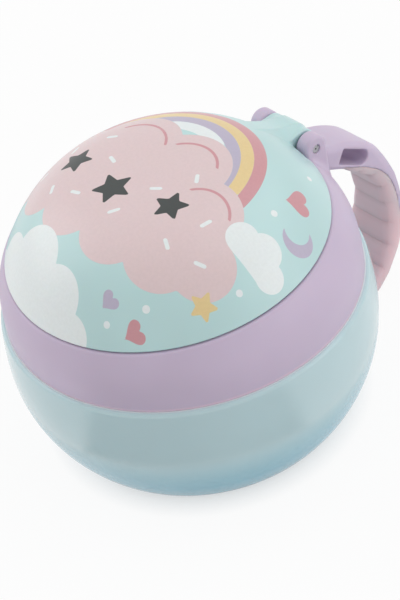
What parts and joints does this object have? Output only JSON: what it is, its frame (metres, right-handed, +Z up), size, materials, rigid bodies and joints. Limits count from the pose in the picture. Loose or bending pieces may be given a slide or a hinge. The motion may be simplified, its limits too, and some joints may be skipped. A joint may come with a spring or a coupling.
{
  "type": "toddler snack container",
  "caption": "Round snack cup with a screw-on collar, hinged domed lid, ribbed open side handle and a soft flap insert that small hands reach through.",
  "frame": {"origin": "centre of the cup's flat base, on the cup's axis", "axes": "+Z up the cup's axis, +Y towards the hinge and the handle, +X across the hinge"},
  "size_m": [0.1042, 0.1297, 0.0828],
  "materials": {
    "cup_plastic": "glossy tinted, slightly translucent",
    "collar_plastic": "satin moulded",
    "grip_rubber": "soft matt elastomer, ribbed",
    "pin_steel": "satin",
    "lid_plastic": "semi-gloss with a printed pattern",
    "liner_plastic": "satin moulded",
    "insert_rubber": "soft satin silicone"
  },
  "bodies": {
    "cup": {"cup": "cup_plastic"},
    "insert": {"insert_flange": "insert_rubber"},
    "collar": {"collar": "collar_plastic", "handle": "collar_plastic", "handle_grip": "grip_rubber", "hinge_pin": "pin_steel"},
    "lid": {"lid_shell": "lid_plastic", "lid_liner": "liner_plastic"},
    "flap_1": {"flap_1": "insert_rubber"},
    "flap_2": {"flap_2": "insert_rubber"},
    "flap_3": {"flap_3": "insert_rubber"},
    "flap_4": {"flap_4": "insert_rubber"},
    "flap_5": {"flap_5": "insert_rubber"},
    "flap_6": {"flap_6": "insert_rubber"}
  },
  "joints": [
    {"name": "collar_lift", "type": "slide", "parent": "cup", "child": "insert", "axis": [0, 0, 1], "range_m": [0, 0.005]},
    {"name": "collar_turn", "type": "hinge", "parent": "insert", "child": "collar", "pos_m": [0, 0, 0], "axis": [0, 0, 1], "range_deg": [0, 360]},
    {"name": "lid_hinge", "type": "hinge", "parent": "collar", "child": "lid", "pos_m": [0, 0.044, 0.0659], "axis": [-1, 0, 0], "range_deg": [0, 130]},
    {"name": "flap_1_bend", "type": "hinge", "parent": "insert", "child": "flap_1", "pos_m": [0.0303, 0, 0.0542], "axis": [0, -1, 0], "range_deg": [-8, 65], "stiffness_Nm_per_rad": 0.006},
    {"name": "flap_2_bend", "type": "hinge", "parent": "insert", "child": "flap_2", "pos_m": [0.01515, 0.02624, 0.0542], "axis": [0.866, -0.5, 0], "range_deg": [-8, 65], "stiffness_Nm_per_rad": 0.006},
    {"name": "flap_3_bend", "type": "hinge", "parent": "insert", "child": "flap_3", "pos_m": [-0.01515, 0.02624, 0.0542], "axis": [0.866, 0.5, 0], "range_deg": [-8, 65], "stiffness_Nm_per_rad": 0.006},
    {"name": "flap_4_bend", "type": "hinge", "parent": "insert", "child": "flap_4", "pos_m": [-0.0303, 0, 0.0542], "axis": [0, 1, 0], "range_deg": [-8, 65], "stiffness_Nm_per_rad": 0.006},
    {"name": "flap_5_bend", "type": "hinge", "parent": "insert", "child": "flap_5", "pos_m": [-0.01515, -0.02624, 0.0542], "axis": [-0.866, 0.5, 0], "range_deg": [-8, 65], "stiffness_Nm_per_rad": 0.006},
    {"name": "flap_6_bend", "type": "hinge", "parent": "insert", "child": "flap_6", "pos_m": [0.01515, -0.02624, 0.0542], "axis": [-0.866, -0.5, 0], "range_deg": [-8, 65], "stiffness_Nm_per_rad": 0.006}
  ],
  "couplings": [
    {"joint": "collar_lift", "follows": "collar_turn", "m_per_rad": 0.0007957}
  ]
}
